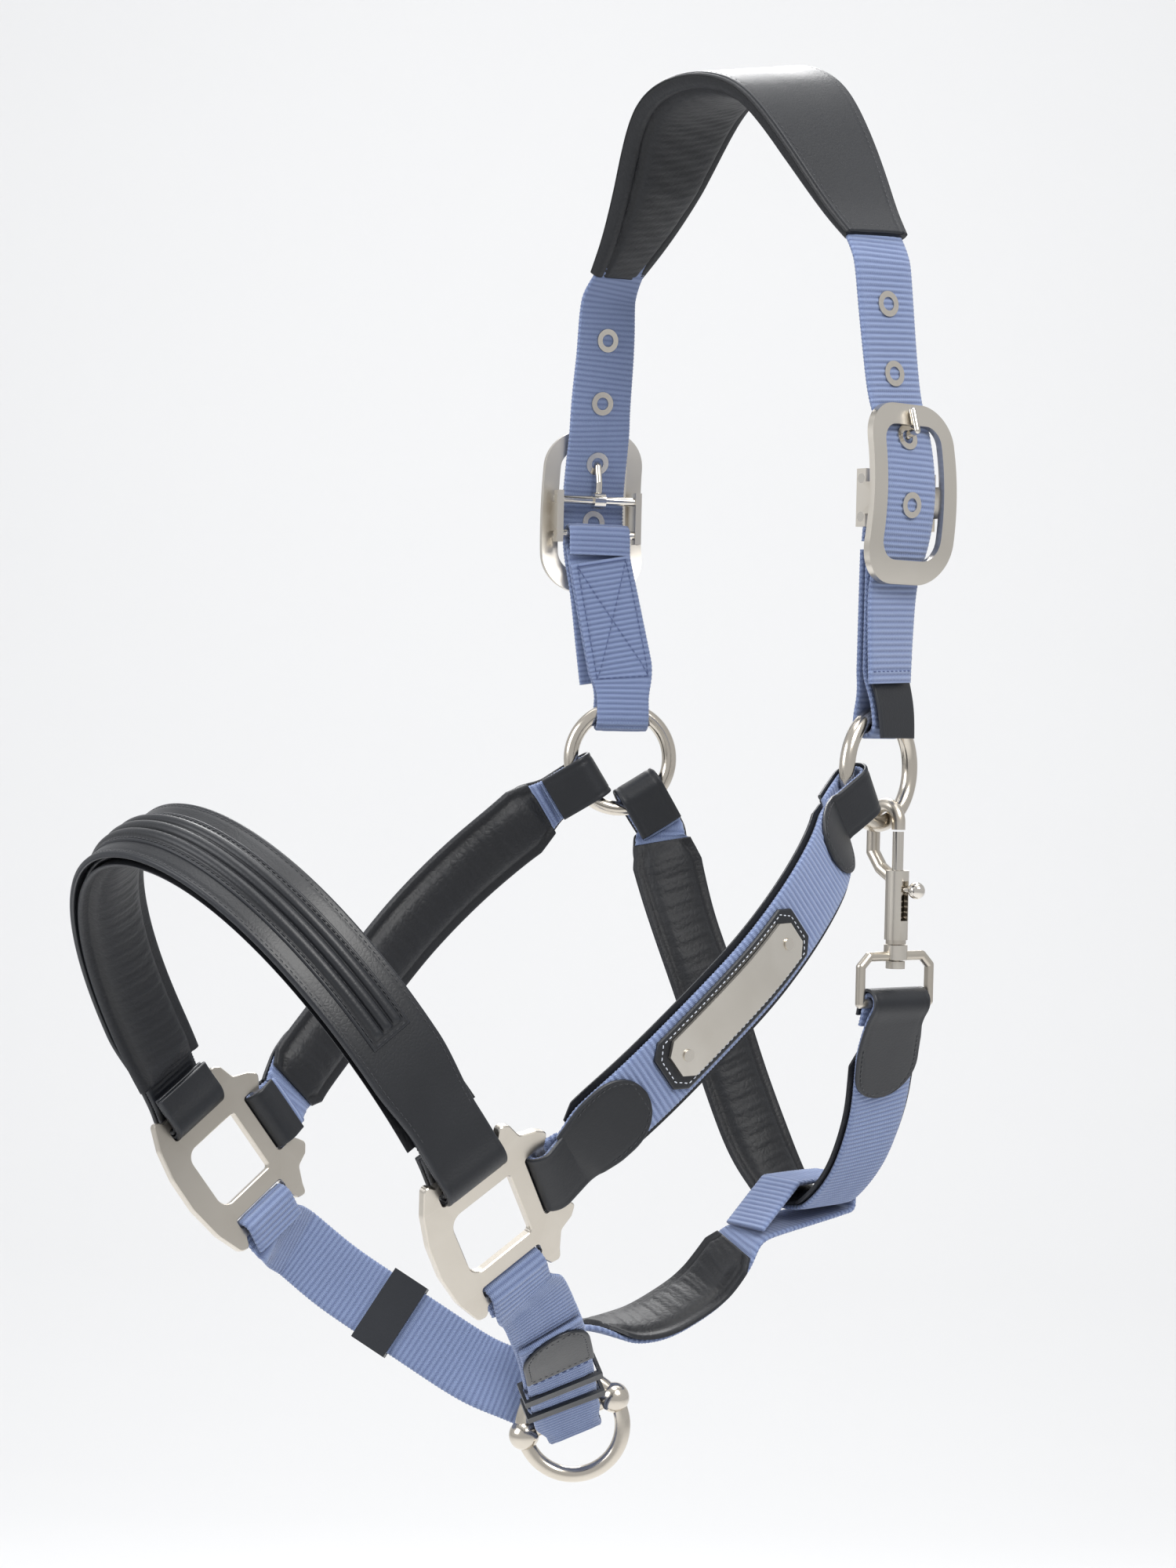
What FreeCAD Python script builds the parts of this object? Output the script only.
import FreeCAD, Part
import os, math
from FreeCAD import Vector as V

os.makedirs("parts", exist_ok=True)

# ---------------------------------------------------------------------------
# Padded headcollar (halter), full size.  Millimetres, +Z up, +X = the horse's
# left (near) side, -Y = towards the nose.  Origin: centre of the underside of
# the crown pad, where it rests on the poll.
# ---------------------------------------------------------------------------

# driving dimensions
WEB_W = 25.0            # webbing width
WEB_T = 1.9             # webbing thickness
LEA_T = 1.2             # leather thickness
PAD_W = 29.0            # padded lining width on cheeks and throat
RING_OD = 44.5          # cheek rings, outer diameter
RING_WIRE = 5.6         # cheek ring wire diameter
RING_C = (70.0, 8.8, -244.4)     # cheek ring centre (near side; far side mirrored)
RING_AZ = {1: 10.0, -1: -30.0}   # direction the ring's flat faces, degrees from +X
SQ_C = (75.0, -165.5, -388.2)    # nose square centre (near side)
SQ_T = 3.0              # nose square plate thickness
SQ_TILT = 13.0          # lower edge leans inwards, degrees
SQ_ROT = 33.0           # slot direction in the plate, degrees
NOSE_A = 80.0           # noseband arch half width
NOSE_B = 119.0          # noseband arch height along its plane
NOSE_N = 2.1            # arch exponent (2 = ellipse)
NOSE_ANG = 33.0         # arch plane leans forward from vertical, degrees
NOSE_W = 29.0           # noseband width
EYE_OD = 9.0            # eyelet flange diameter
EYE_ID = 4.8            # eyelet hole
EYE_Z = (-82.6, -106.8, -129.3, -152.5)
BUCKLE_C = (89.1, 4.5, -148.7)   # buckle centre, outer face (near side)
BUCKLE_H = 62.5
BUCKLE_W = 42.0
BAR_R = 1.7             # buckle bar radius
CHIN_BAR = (2.0, -70.2, -476.3)  # middle of the chin ring's cross bar
CHIN_B = (0.587, 0.700, 0.406)   # direction of the cross bar
CHIN_N = (0.766, -0.643, 0.0)    # direction the chin ring faces
CHIN_R = 17.65          # chin ring wire centre-line radius
CHIN_WIRE = 2.8         # chin ring wire radius
CHIN_DROP = 3.4         # bar to ring centre
CHIN_BAR_R = 2.5
SNAP_AX = (75.0, 14.3)  # snap axis, X and Y


# ------------------------------------------------------------------ helpers
def sub(a, b): return (a[0]-b[0], a[1]-b[1], a[2]-b[2])
def add(a, b): return (a[0]+b[0], a[1]+b[1], a[2]+b[2])
def mul(a, k): return (a[0]*k, a[1]*k, a[2]*k)
def dot(a, b): return a[0]*b[0]+a[1]*b[1]+a[2]*b[2]
def cross(a, b): return (a[1]*b[2]-a[2]*b[1], a[2]*b[0]-a[0]*b[2], a[0]*b[1]-a[1]*b[0])
def length(a): return math.sqrt(dot(a, a))
def unit(a):
    k = length(a)
    return (a[0]/k, a[1]/k, a[2]/k)
def comb(*t):
    r = (0.0, 0.0, 0.0)
    for k, v in t:
        r = add(r, mul(v, k))
    return r
def lerp(a, b, t): return comb((1-t, a), (t, b))
def side(p, s): return (p[0]*s, p[1], p[2])


def polyhedron(quads):
    """Closed solid from planar polygons given as lists of points."""
    faces = []
    for q in quads:
        pts = []
        for p in q:
            v = V(*p)
            if not pts or (v - pts[-1]).Length > 1e-6:
                pts.append(v)
        if len(pts) > 2 and (pts[0] - pts[-1]).Length < 1e-6:
            pts.pop()
        if len(pts) < 3:
            continue
        flat = True
        if len(pts) == 4:
            n = (pts[1]-pts[0]).cross(pts[2]-pts[0])
            if n.Length > 1e-12:
                n.normalize()
                flat = abs(n.dot(pts[3]-pts[0])) < 1e-7
            if not flat:
                # split along the shorter diagonal, so facing layers split alike
                if (pts[0]-pts[2]).Length > (pts[1]-pts[3]).Length:
                    pts = pts[1:] + pts[:1]
                faces.append(Part.Face(Part.makePolygon([pts[0], pts[1], pts[2], pts[0]])))
                faces.append(Part.Face(Part.makePolygon([pts[0], pts[2], pts[3], pts[0]])))
                continue
        faces.append(Part.Face(Part.makePolygon(pts + [pts[0]])))
    shell = Part.makeShell(faces)
    shell.sewShape()
    solid = Part.makeSolid(Part.Shell(shell.Faces) if not isinstance(shell, Part.Shell) else shell)
    if solid.Volume < 0:
        solid.reverse()
    return solid


def skin(sections, closed=False):
    """Solid through a list of sections, each a list of k points in one plane."""
    k = len(sections[0])
    quads = []
    n = len(sections)
    for i in range(n if closed else n - 1):
        a, b = sections[i], sections[(i + 1) % n]
        for j in range(k):
            quads.append([a[j], a[(j+1) % k], b[(j+1) % k], b[j]])
    if not closed:
        quads.append(list(reversed(sections[0])))
        quads.append(list(sections[-1]))
    return polyhedron(quads)


def smooth(pts, step=9.0):
    """Catmull-Rom through (point, width direction) stations."""
    out = []
    n = len(pts)
    for i in range(n - 1):
        p0 = pts[max(i-1, 0)]; p1 = pts[i]; p2 = pts[i+1]; p3 = pts[min(i+2, n-1)]
        d = length(sub(p2[0], p1[0]))
        m = max(1, int(round(d/step)))
        for j in range(m):
            t = j/float(m)
            c = (0.5*(-t+2*t*t-t**3), 0.5*(2-5*t*t+3*t**3), 0.5*(t+4*t*t-3*t**3), 0.5*(-t*t+t**3))
            out.append((comb((c[0], p0[0]), (c[1], p1[0]), (c[2], p2[0]), (c[3], p3[0])),
                        unit(lerp(p1[1], p2[1], t))))
    out.append(pts[-1])
    return out


class Strap:
    """A flat strap: stations with a centre point, a width direction W and a
    face normal N.  N = T x W."""
    def __init__(self, stations, closed=False):
        self.P = [s[0] for s in stations]
        n = len(self.P)
        self.closed = closed
        self.extra = []
        self.W, self.N, self.T = [], [], []
        for i in range(n):
            if closed:
                a, b = self.P[(i-1) % n], self.P[(i+1) % n]
            else:
                a, b = self.P[max(i-1, 0)], self.P[min(i+1, n-1)]
            # bisect the two neighbouring directions so offsets stay even
            t1 = unit(sub(self.P[i], a)) if a != self.P[i] else None
            t2 = unit(sub(b, self.P[i])) if b != self.P[i] else None
            t = unit(add(t1, t2)) if (t1 and t2) else (t1 or t2)
            w = stations[i][1]
            nn = unit(cross(t, w))
            w = unit(cross(nn, t))
            self.W.append(w); self.N.append(nn); self.T.append(t)
        self.S = [0.0]
        for i in range(1, n):
            self.S.append(self.S[-1] + length(sub(self.P[i], self.P[i-1])))
        self.L = self.S[-1]

    def at(self, s):
        S = self.S
        if s <= 0: return self.P[0], self.W[0], self.N[0]
        if s >= self.L: return self.P[-1], self.W[-1], self.N[-1]
        i = 0
        while S[i+1] < s: i += 1
        t = (s-S[i])/(S[i+1]-S[i])
        return (lerp(self.P[i], self.P[i+1], t), unit(lerp(self.W[i], self.W[i+1], t)),
                unit(lerp(self.N[i], self.N[i+1], t)))

    def nearest(self, p):
        best = min(range(len(self.P)), key=lambda i: length(sub(self.P[i], p)))
        return self.S[best]

    def ribbon(self, s0, s1, n0, n1, hw, extra=(), wc=0.0):
        """Solid between offsets n0 and n1, half width hw, from s0 to s1.
        n0, n1, hw and wc may be functions of s."""
        f = lambda g, s: g(s) if callable(g) else g
        ss = sorted(set([s0, s1] + [x for x in self.S if s0+0.3 < x < s1-0.3] +
                        [x for x in list(extra)+self.extra if s0+0.3 < x < s1-0.3]))
        secs = []
        for s in ss:
            p, w, n = self.at(s)
            a, b, h, c = f(n0, s), f(n1, s), f(hw, s), f(wc, s)
            secs.append([comb((1, p), (c+k*h, w), (m, n)) for k, m in
                         ((-1, a), (0, a), (1, a), (1, b), (0, b), (-1, b))])
        return skin(secs)

    def prof(self, s0, s1, prof, extra=()):
        """Solid with a free profile prof(s) -> list of (w, n)."""
        ss = sorted(set([s0, s1] + [x for x in self.S if s0+0.3 < x < s1-0.3] +
                        [x for x in list(extra)+self.extra if s0+0.3 < x < s1-0.3]))
        secs = []
        for s in ss:
            p, w, n = self.at(s)
            secs.append([comb((1, p), (a, w), (b, n)) for a, b in prof(s)])
        return skin(secs)


def loop_end(P0, T, N, W, r, flat, off, far, steps=8):
    """Stations of a strap folded round a bar at P0.  T points away from the
    bar along the strap, N is the outer side.  Starts at the inner ply `far`
    from the bar and ends on the outer ply.  r is the path radius, off the
    ply's offset from the middle, flat where both plies have come together."""
    pts = []
    pts.append((far, -off))
    if far > flat + 4: pts.append((flat, -off))
    for i in range(steps + 1):
        a = math.radians(-90 - 180.0*i/steps)
        pts.append((r*math.cos(a), r*math.sin(a)))
    pts.append((flat, off))
    return [(comb((1, P0), (x, T), (n, N)), W) for x, n in pts]


def hull_loop(P0, e1, e2, W, circles, T2, flat, off, far):
    """Stations of a strap looped round one or more circles (x, y, r) in the
    plane (e1, e2) at P0 and drawn together `flat` along T2.  The path runs
    from the inner ply, `far` out, round the loop to the outer ply.  The outer
    side is to the left of T2 (e1 x e2 order)."""
    k = math.hypot(*T2); tx, ty = T2[0]/k, T2[1]/k
    nx, ny = -ty, tx
    A = (tx*flat-nx*off, ty*flat-ny*off); B = (tx*flat+nx*off, ty*flat+ny*off)
    pts = [A, B]
    for cx, cy, r in circles:
        for i in range(18):
            a = math.radians(20*i)
            pts.append((cx+r*math.cos(a), cy+r*math.sin(a)))
    pts = sorted(set((round(x, 5), round(y, 5)) for x, y in pts))
    def half(ps):
        h = []
        for p in ps:
            while len(h) > 1 and (h[-1][0]-h[-2][0])*(p[1]-h[-2][1])-(h[-1][1]-h[-2][1])*(p[0]-h[-2][0]) <= 0:
                h.pop()
            h.append(p)
        return h
    hull = half(pts)[:-1] + half(pts[::-1])[:-1]      # counter-clockwise
    A = (round(A[0], 5), round(A[1], 5)); B = (round(B[0], 5), round(B[1], 5))
    i = hull.index(A)
    seq = hull[i:] + hull[:i]
    if seq[1] == B:
        seq = [seq[0]] + seq[1:][::-1]
    if far > flat+0.5:
        seq = [(tx*far-nx*off, ty*far-ny*off)] + seq
    return [(comb((1, P0), (x, e1), (y, e2)), W) for x, y in seq]


def export(name, *shapes):
    shapes = [s for s in shapes if s is not None]
    sh = shapes[0] if len(shapes) == 1 else Part.makeCompound(list(shapes))
    bad = [s for s in sh.Solids if not s.isValid() or s.Volume <= 0]
    print("%-26s solids %d  volume %.0f%s" % (name, len(sh.Solids), sum(s.Volume for s in sh.Solids),
                                              "  INVALID" if bad or not sh.Solids else ""))
    sh.exportStep("parts/%s.step" % name)
    PARTS[name] = sh

PARTS = {}


def cyl(p0, p1, r):
    d = sub(p1, p0)
    return Part.makeCylinder(r, length(d), V(*p0), V(*d))


def rod(points, r, ball=True):
    """Round bar along a polyline, with balls at the corners."""
    out = None
    for i in range(len(points)-1):
        c = cyl(points[i], points[i+1], r)
        out = c if out is None else out.fuse(c)
        if ball and i > 0:
            out = out.fuse(Part.makeSphere(r, V(*points[i])))
    return out


def placed(shape, origin, ex, ey, ez):
    m = FreeCAD.Matrix(ex[0], ey[0], ez[0], origin[0],
                       ex[1], ey[1], ez[1], origin[1],
                       ex[2], ey[2], ez[2], origin[2], 0, 0, 0, 1)
    return shape.transformGeometry(m) if False else _rigid(shape, m)


def _rigid(shape, m):
    s = shape.copy()
    s.Placement = FreeCAD.Placement(m).multiply(s.Placement)
    return s


def rounded(pts, radii):
    """Closed wire in XY through pts with rounded corners."""
    n = len(pts)
    edges, prev_end, first = [], None, None
    for i in range(n):
        p, a, b = V(*pts[i]), V(*pts[i-1]), V(*pts[(i+1) % n])
        r = radii[i] if isinstance(radii, (list, tuple)) else radii
        da, db = (a-p).normalize(), (b-p).normalize()
        ang = da.getAngle(db)
        d = r/math.tan(ang/2) if r > 0 else 0
        q1, q2 = p+da*d, p+db*d
        mid = None
        if r > 0:
            bis = (da+db).normalize()
            c = p+bis*(r/math.sin(ang/2))
            mid = c-bis*r
        if prev_end is not None and (prev_end-q1).Length > 1e-6:
            edges.append(Part.LineSegment(prev_end, q1).toShape())
        if first is None: first = q1
        if r > 0:
            edges.append(Part.Arc(q1, mid, q2).toShape())
        prev_end = q2
    if (prev_end-first).Length > 1e-6:
        edges.append(Part.LineSegment(prev_end, first).toShape())
    return Part.Wire(Part.__sortEdges__(edges))


def plate(outer, holes, t, r_out=2.0):
    """Flat plate, mid-plane at z=0, from wires in XY."""
    f = Part.Face([outer] + holes)
    return f.extrude(V(0, 0, t)).translated(V(0, 0, -t/2.0)) if hasattr(f, "translated") else f.extrude(V(0, 0, t))


# ------------------------------------------------------------- cheek rings
def ring_frame(s):
    az = math.radians(RING_AZ[s])
    n = (math.cos(az), math.sin(az), 0.0)
    h = (-math.sin(az), math.cos(az), 0.0)
    return side(RING_C, s), n, h, (0.0, 0.0, 1.0)

R_MAJ = (RING_OD-RING_WIRE)/2
for s, nm in ((1, "left"), (-1, "right")):
    c, n, h, v = ring_frame(s)
    export(nm+"_cheek_ring", Part.makeTorus(R_MAJ, RING_WIRE/2, V(*c), V(*n)))


def ring_point(s, ch, cv):
    """Point on the ring's wire in the in-plane direction (ch, cv), its
    outward radial and its tangent."""
    c, n, h, v = ring_frame(s)
    k = math.hypot(ch, cv); ch /= k; cv /= k
    rad = comb((ch, h), (cv, v))
    tan = comb((-cv, h), (ch, v))
    return comb((1, c), (R_MAJ, rad)), rad, tan, n


# ------------------------------------------------------------ nose squares
def sq_frame(s):
    t = math.radians(SQ_TILT); a = math.radians(SQ_ROT)
    u = (0.0, 1.0, 0.0); v = (s*math.sin(t), 0.0, math.cos(t))
    eA = comb((math.cos(a), u), (math.sin(a), v))
    eB = comb((-math.sin(a), u), (math.cos(a), v))
    nP = (s*math.cos(t), 0.0, -math.sin(t))
    return side(SQ_C, s), eA, eB, nP

NB_B = 24.9     # noseband bar, distance from the square's centre
CK_A = 25.2     # cheek bar
CH_B = -22.9    # chin bar
SB_R = 1.7      # half width of the square's outer bars


def square_shape():
    pts = [(-15.8, 30.0), (-12.9, 26.6), (12.6, 26.6), (15.2, 30.6), (18.6, 28.2), (20.5, 22.5),
           (26.6, 19.9), (30.0, 17.0), (27.9, 13.8), (26.9, 12.6), (26.9, -9.6), (28.6, -11.6),
           (30.2, -14.2), (27.5, -17.2), (22.4, -19.0), (19.6, -24.6), (18.4, -28.4), (14.6, -27.4),
           (13.0, -24.6), (-11.2, -24.6), (-12.6, -28.2), (-16.4, -27.2), (-20.4, -17.0),
           (-22.6, -4.0), (-22.4, 9.0), (-20.2, 20.0)]
    rad = [1.7, 0.8, 0.8, 1.8, 1.6, 2.2, 1.6, 1.7, 1.0, 0.6, 0.6, 1.0, 1.7, 1.4, 2.6, 2.2, 1.6, 1.4,
           0.8, 0.8, 1.7, 2.4, 10.0, 10.0, 10.0, 6.0]
    outer = rounded([(a, b, 0) for a, b in pts], rad)
    win = rounded([(-12.3, 12.5, 0), (12.4, 12.5, 0), (12.4, -11.4, 0), (-12.3, -11.4, 0)], [4.5, 1.2, 1.2, 4.5])
    s1 = rounded([(-12.7, 18.8, 0), (12.7, 18.8, 0), (12.7, 23.2, 0), (-12.7, 23.2, 0)], 1.0)
    s2 = rounded([(19.1, -9.4, 0), (19.1, 13.4, 0), (23.5, 13.4, 0), (23.5, -9.4, 0)], 1.0)
    s3 = rounded([(-11.0, -17.6, 0), (12.9, -17.6, 0), (12.9, -21.2, 0), (-11.0, -21.2, 0)], 1.0)
    f = Part.Face(outer)
    body = f.extrude(V(0, 0, SQ_T))
    for w in (win, s1, s2, s3):
        body = body.cut(Part.Face(w).extrude(V(0, 0, SQ_T)))
    body.translate(V(0, 0, -SQ_T/2))
    try:
        es = [e for e in body.Edges if abs(e.CenterOfMass.z-SQ_T/2) < 1e-6 or abs(e.CenterOfMass.z+SQ_T/2) < 1e-6]
        b2 = body.makeChamfer(0.35, es)
        if b2.isValid() and b2.Volume > 0.8*body.Volume:
            body = b2
    except Exception as e:
        print("square chamfer skipped", e)
    return body

SQ = square_shape()
for s, nm in ((1, "left"), (-1, "right")):
    c, eA, eB, nP = sq_frame(s)
    # keep the frame right-handed: on the far side the plate is mirrored first
    if s == 1:
        # eA x eB = +X side
        q = placed(SQ, c, eA, eB, cross(eA, eB))
    else:
        q = placed(SQ, c, eA, eB, cross(eA, eB))
    export(nm+"_nose_square", q)


def sq_point(s, a, b, n=0.0):
    c, eA, eB, nP = sq_frame(s)
    return comb((1, c), (a, eA), (b, eB), (n, nP))


# ---------------------------------------------------------------- noseband
ang = math.radians(NOSE_ANG)
NW = (0.0, -math.cos(ang), -math.sin(ang))      # width direction, towards the nose tip
NH = (0.0, -math.sin(ang), math.cos(ang))       # up the arch plane
NB0 = comb((0.5, sq_point(1, 0, NB_B)), (0.5, side(sq_point(-1, 0, NB_B), 1)))
NB0 = (0.0, NB0[1], NB0[2])                     # middle between the two noseband bars
r_nb = SB_R + 0.9 + WEB_T/2


def arch(theta):
    c, si = math.cos(theta), math.sin(theta)
    x = NOSE_A*math.copysign(abs(c)**(2/NOSE_N), c)
    z = NOSE_B*abs(si)**(2/NOSE_N)
    return comb((1, NB0), (x, (1.0, 0, 0)), (z, NH))

mid = []
for i in range(2, 47):
    th = math.pi*i/48.0
    mid.append((arch(th), mul(NW, 1.0)))
st = []
for s in (1, -1):
    bar = sq_point(s, 0.0, NB_B)
    c, eA, eB, nP = sq_frame(s)
    d = unit(sub(mid[0][0] if s == 1 else mid[-1][0], bar))
    d = unit(sub(d, mul(eA, dot(d, eA))))
    Wd = mul(eA, -1.0)
    N = unit(cross(d, Wd)) if s == 1 else unit(cross(Wd, d))
    # outer side away from the muzzle
    if dot(N, (s, 0, 0)) < 0: N = mul(N, -1)
    e = loop_end(bar, d, N, Wd, r_nb, 11.0, WEB_T/2+0.3, 11.0)
    st.append(e)
stations = st[0] + mid[1:-1] + list(reversed(st[1]))
nose = Strap(stations)
# index where the outer ply begins / ends
iA = len(st[0])-1; iB = len(stations)-len(st[1])
sA, sB = nose.S[iA], nose.S[iB]
flipN = 1.0 if dot(nose.N[iA], (1, 0, 0)) > 0 else -1.0


def rib(st_, s0, s1, n0, n1, hw, f=1.0, extra=(), wc=0.0):
    """Ribbon with offsets measured towards the strap's outer side."""
    g0 = (lambda s: f*(n0(s) if callable(n0) else n0))
    g1 = (lambda s: f*(n1(s) if callable(n1) else n1))
    return st_.ribbon(s0, s1, g0, g1, hw, extra, wc)

H = WEB_T/2
nose.extra = [sA+6, sA+17, sA+28, sB-6, sB-17, sB-28, sA+42, sB-42]
# hidden webbing core that folds round both bars
export("noseband_webbing", rib(nose, 0, nose.L, -H, H, 11.6, flipN))
# outer leather strap, folded round the bars outside the webbing
hwL = lambda s: 12.1 + (NOSE_W/2-12.1)*min(1.0, max(0.0, (s-sA-6)/22.0), 1.0)*1.0 if s < nose.L/2 else \
    12.1 + (NOSE_W/2-12.1)*min(1.0, max(0.0, (sB-6-s)/22.0))
s_in = 0.6
export("noseband_strap", rib(nose, s_in, nose.L-s_in, H+0.25, H+0.25+LEA_T, hwL, flipN, extra=(sA+6, sA+17, sA+28, sB-6, sB-17, sB-28)))
# raised centre panel
ov0, ov1 = sA+38, sB-38
export("noseband_overlay", rib(nose, ov0, ov1, H+0.35+LEA_T, H+0.35+LEA_T+2.0,
                               lambda s: 8.2 if ov0+4 < s < ov1-4 else 7.6, flipN, extra=(ov0+4, ov1-4)))
# foam and lining on the inner side
n_in = -H-0.12
f0, f1 = sA+5.0, sB-5.0
ply = lambda s: (-H-0.05) if (sA+18 < s < sB-18) else (-H-0.05)
def foam_prof(s):
    k = min(1.0, (s-f0-4)/12.0, (f1-4-s)/12.0); k = max(0.15, k)
    return [(-12.4, flipN*(n_in-0.05)), (12.4, flipN*(n_in-0.05)), (10.8, flipN*(n_in-0.05-4.2*k)), (-10.8, flipN*(n_in-0.05-4.2*k))]
def lining_prof(s):
    k = min(1.0, (s-f0-4)/12.0, (f1-4-s)/12.0); k = max(0.15, k)
    a = n_in-0.05; b = a-4.2*k-0.05; o = b-LEA_T
    h = NOSE_W/2
    return [(w, flipN*n) for w, n in ((-h, n_in), (-h, n_in-2.2*k), (-h+2.6, o), (h-2.6, o), (h, n_in-2.2*k), (h, n_in),
                                      (12.45, n_in), (10.85, b), (-10.85, b), (-12.45, n_in))]
INNER_NOSE = 24.0-4
f0n, f1n = f0+6, f1-6
export("noseband_foam", nose.prof(f0+8, f1-8, foam_prof))
export("noseband_lining", nose.prof(f0+8, f1-8, lining_prof))

# ---------------------------------------------------------------- crown
# crown pad stations: X, front edge (Y,Z), back edge (Y,Z) of the top surface
PAD = [(0.0, -31.0, 4.0, 25.6, 15.6), (15.0, -30.2, 2.2, 26.0, 13.0), (28.0, -27.8, -3.4, 26.0, 5.0),
       (38.0, -24.4, -14.0, 25.4, -7.0), (47.0, -20.6, -27.0, 23.8, -20.5), (56.0, -17.2, -40.5, 20.6, -34.0),
       (64.0, -14.6, -51.5, 17.2, -45.5), (71.0, -12.6, -59.5, 14.8, -54.0)]
full = [(-x, a, b, c, d) for x, a, b, c, d in reversed(PAD[1:])] + PAD


def crown_mid(x_s):
    return None

pf = smooth([((x, fy, fz), (0, 1, 0)) for x, fy, fz, by, bz in full], 9.0)
pb = smooth([((x, by, bz), (0, 1, 0)) for x, fy, fz, by, bz in full], 9.0)
if len(pf) != len(pb):
    pf = [((x, fy, fz), 0) for x, fy, fz, by, bz in full]; pb = [((x, by, bz), 0) for x, fy, fz, by, bz in full]
print("pad stations", len(pf))
padstations = []
padhw = []
for (a_, _), (b_, _) in zip(pf, pb):
    w = sub(b_, a_)
    padstations.append((lerp(a_, b_, 0.5), unit(w)))
    padhw.append(length(w)/2)
pad = Strap(padstations)
fp = 1.0 if dot(pad.N[len(padstations)//2], (0, 0, 1)) > 0 else -1.0


def padw(s):
    S = pad.S
    if s <= 0: return padhw[0]
    if s >= pad.L: return padhw[-1]
    i = 0
    while S[i+1] < s: i += 1
    t = (s-S[i])/(S[i+1]-S[i])
    return padhw[i]*(1-t)+padhw[i+1]*t

COV = 1.6      # top leather
PADT = 7.6     # foam thickness at the centre


def padk(s):
    m = min(s, pad.L-s)
    return min(1.0, 0.35+m/60.0)

def pad_cover(s):
    h = padw(s)-1.2; m = min(12.9, h-0.3)
    return [(w, fp*n) for w, n in ((-h, -COV), (-m, -COV), (0, -COV), (m, -COV), (h, -COV), (h, 0), (m, 0), (0, 0), (-m, 0), (-h, 0))]


export("crown_pad_cover", pad.prof(0, pad.L, pad_cover))
WB = COV+0.05          # top of the webbing under the cover
WBB = WB+WEB_T+0.6


def wall(h):
    return max(0.9, min(3.1, h-12.9))



def pad_foam(s):
    h = padw(s); h = h-wall(h)-0.2; t = PADT*padk(s)-1.6
    return [(w, -fp*n) for w, n in ((-h, WBB+0.15), (0, WBB+0.15), (h, WBB+0.15), (h-1.6, WBB+t), (0, WBB+t), (-h+1.6, WBB+t))]


def pad_lining(s):
    h = padw(s); t = PADT*padk(s)-1.6; q = wall(h)
    return [(w, -fp*n) for w, n in ((-h, WB+0.1), (-h, WBB+t*0.55), (-h+3.0, WBB+t+1.3), (0, WBB+t+1.3), (h-3.0, WBB+t+1.3),
                                    (h, WBB+t*0.55), (h, WB+0.1), (h-q, WB+0.1), (h-q, WBB+0.1),
                                    (h-q-1.5, WBB+t+0.12), (0, WBB+t+0.12), (-h+q+1.5, WBB+t+0.12), (-h+q, WBB+0.1), (-h+q, WB+0.1))]

ends = 3.0
export("crown_pad_foam", pad.prof(ends, pad.L-ends, pad_foam))
export("crown_pad_lining", pad.prof(0.0, pad.L, pad_lining))

# crown webbing: one strap over the poll, down both sides through the buckles
CROWN_SIDE = [(73.8, 0.8, -67.0), (75.5, 1.7, -86.0), (77.3, 3.2, -107.0), (78.9, 4.0, -118.0),
              (82.9, 4.5, -129.0), (85.4, 4.5, -141.0), (85.8, 4.5, -152.0), (84.0, 4.5, -165.0), (79.1, 4.6, -178.0),
              (77.9, 5.0, -190.0), (77.4, 5.4, -203.0), (77.2, 5.8, -214.5)]
CW = {1: [(0.10, 0.99, 0.05), (0.05, 0.99, 0.05), (0.0, 1.0, 0.05)], -1: [(0.12, 0.99, 0.05), (0.22, 0.97, 0.05), (0.34, 0.94, 0.05)]}


def cw(s, z):
    t = min(1.0, max(0.0, (-67.0-z)/60.0))
    w = unit(lerp(CW[s][0], CW[s][2], t))
    t = min(1.0, max(0.0, (-166.0-z)/46.0))
    return unit(lerp(w, ring_frame(s)[2], t))


def cside(p, s):
    """Far side: the strap bows out along its own buckle's facing direction,
    and its tail follows the tab below."""
    if s == 1: return p
    q = (-p[0], p[1]+(-1.5+0.36*(p[0]-79.0))*min(1.0, max(0.0, (-90.0-p[2])/20.0)), p[2])
    if p[2] < -160.0:
        t = (-157.3-p[2])/55.1
        tn_ = lerp((79.5, 4.5, 0), (70.0, 8.8, 0), t); tf_ = lerp((-80.1, 3.3, 0), (-70.0, 8.8, 0), t)
        w_ = cw(-1, p[2]); w_ = unit((w_[0], w_[1], 0)); n_ = (-w_[1], w_[0], 0)
        g = comb((1, (tf_[0], tf_[1], p[2])), (p[0]-tn_[0], n_), (p[1]-tn_[1], w_))
        b = min(1.0, (-160.0-p[2])/8.0)
        q = lerp(q, g, b)
    return q

cs = []
for p in reversed(CROWN_SIDE):
    cs.append((cside(p, -1), cw(-1, p[2])))
cs_far = smooth(cs, 8.0)
under = []
for (p, w), hwv in list(zip(padstations, padhw)):
    i = padstations.index((p, w))
    under.append((comb((1, p), (-fp*(COV+0.35+WEB_T/2), pad.N[i])), w))
cn = smooth([(side(p, 1), cw(1, p[2])) for p in CROWN_SIDE], 8.0)
crown_st = cs_far + under + cn
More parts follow.
